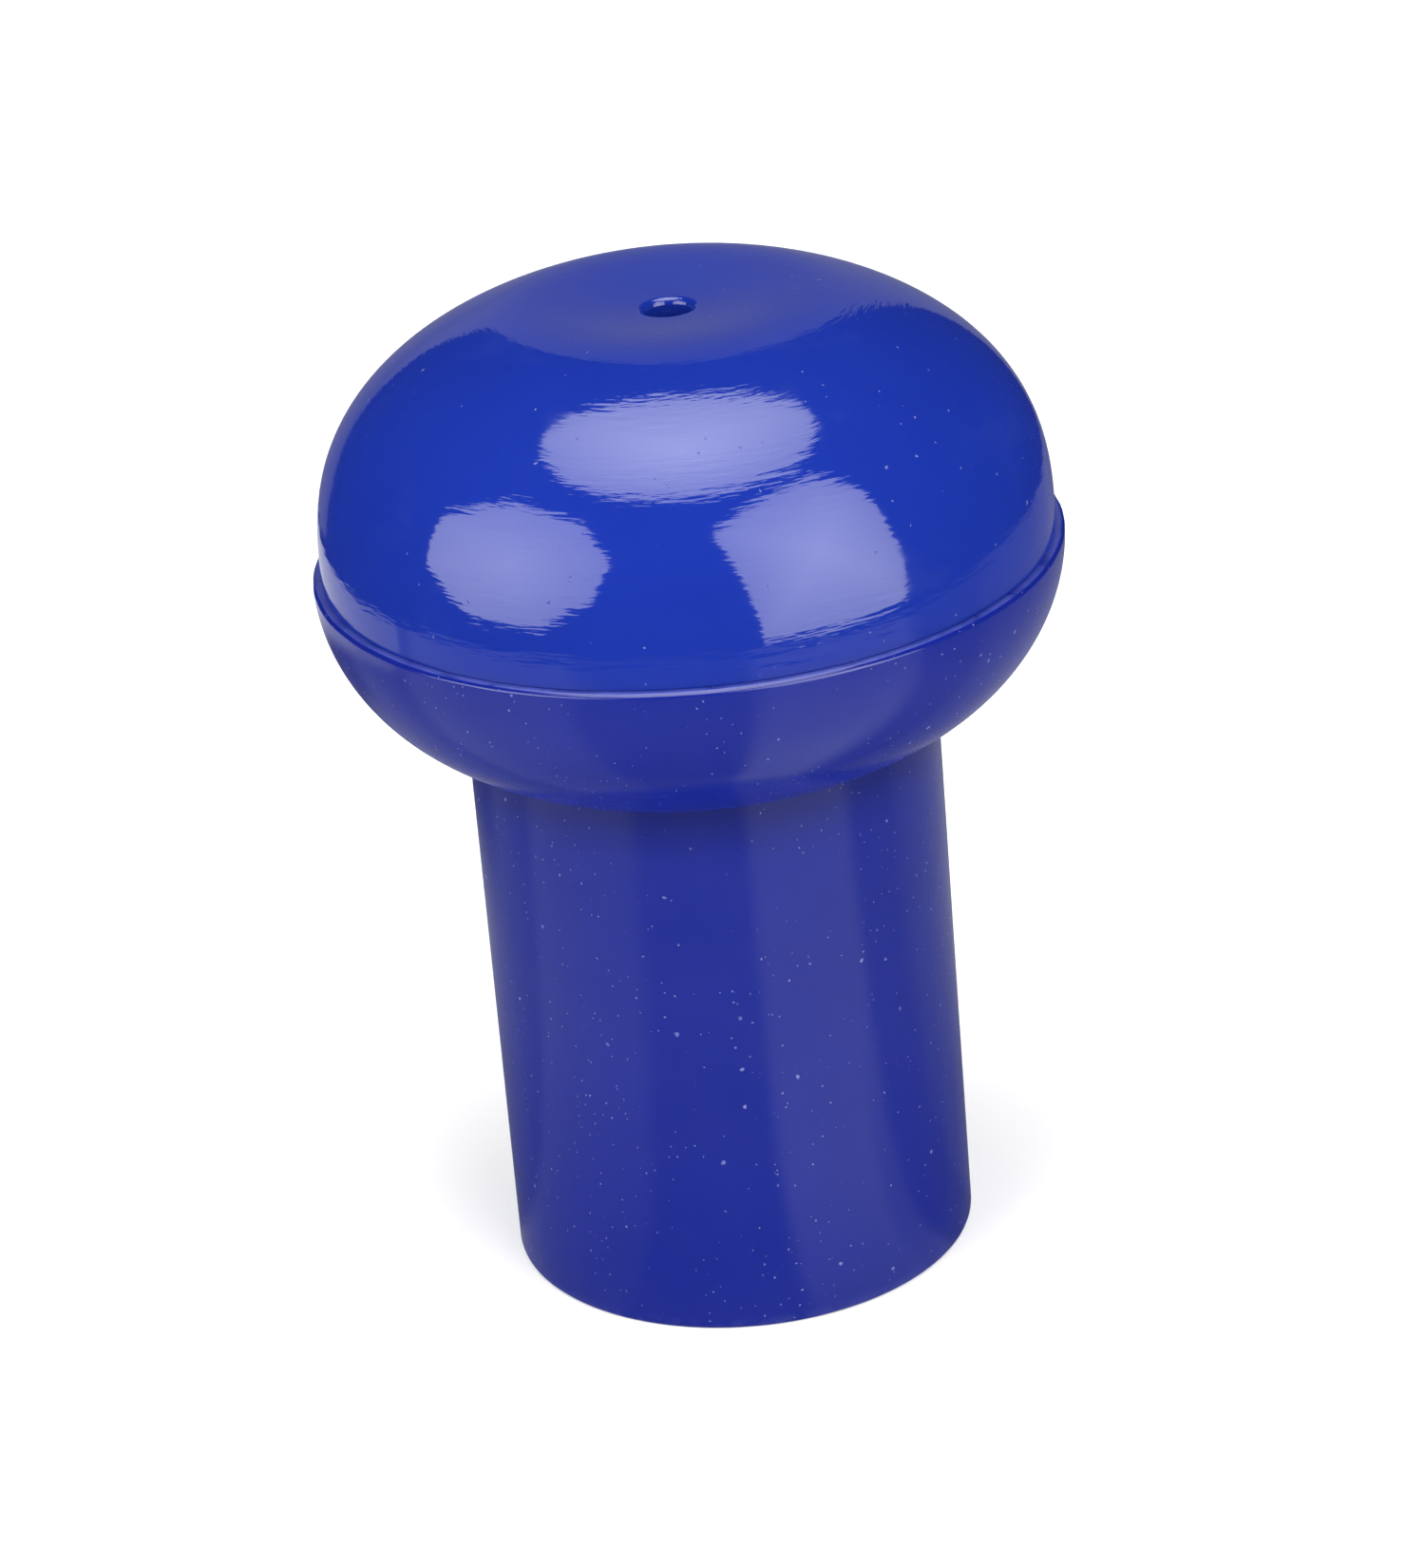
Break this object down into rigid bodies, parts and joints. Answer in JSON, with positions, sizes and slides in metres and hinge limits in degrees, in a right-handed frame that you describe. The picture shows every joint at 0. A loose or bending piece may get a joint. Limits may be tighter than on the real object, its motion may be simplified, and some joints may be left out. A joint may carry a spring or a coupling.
{
  "type": "pipette filler bulb",
  "caption": "Mushroom-shaped thumb bulb: a soft vented dome that presses down on a satin bowl and stem, with a silicone pipette socket in the stem.",
  "frame": {"origin": "centre of the stem's open lower end, on the surface the bulb stands on", "axes": "+Z is the axis of symmetry, from the stem's open end up to the vent in the dome; X and Y are free directions across it"},
  "size_m": [0.0394, 0.0394, 0.0537],
  "materials": {
    "body_blue": "satin moulded blue",
    "dome_blue": "glossy flexible blue vinyl",
    "bush_blue": "semi-gloss moulded blue",
    "ring_white": "natural white moulded",
    "silicone": "milky translucent silicone",
    "membrane": "white porous membrane",
    "nitrile": "black matt rubber"
  },
  "bodies": {
    "body": {"body_shell": "body_blue", "dome_wall": "dome_blue", "clamp_ring": "ring_white", "filter_cap": "ring_white", "filter_disc": "membrane", "filter_seat": "ring_white", "filter_o_ring": "nitrile", "pipette_seal": "silicone", "seal_collar": "bush_blue"},
    "crown": {"dome_crown": "dome_blue", "vent_bush": "bush_blue"}
  },
  "joints": [
    {"name": "dome_press", "type": "slide", "parent": "body", "child": "crown", "axis": [0, 0, -1], "range_m": [0, 0.005], "stiffness_N_per_m": 1800, "deforming": ["dome_wall"]}
  ]
}
